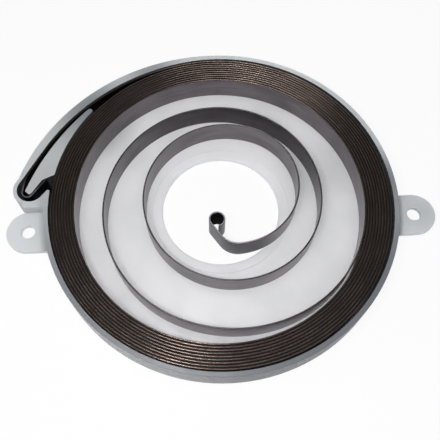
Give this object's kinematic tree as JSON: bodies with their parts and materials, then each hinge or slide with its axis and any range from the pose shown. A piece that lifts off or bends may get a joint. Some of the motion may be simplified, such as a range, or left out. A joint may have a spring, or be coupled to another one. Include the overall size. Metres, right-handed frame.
{
  "type": "flat spiral power spring",
  "caption": "Flat wound steel power spring in a shallow round plastic cassette, with a hook end held in the rim, loose inner turns and a curled inner eye.",
  "frame": {"origin": "middle of the cassette's central hole, on the cassette's underside", "axes": "+Z leaves the cassette's open side; X runs along the row of the two ear holes, with the hook pocket on the -X side; +Y is the side away from the ears, which stand a little off the middle towards -Y"},
  "size_m": [0.1, 0.0824, 0.0078],
  "materials": {
    "steel_strip": "satin",
    "cassette_plastic": "satin"
  },
  "bodies": {
    "root": {"spring_strip": "steel_strip", "cassette": "cassette_plastic"}
  },
  "joints": []
}
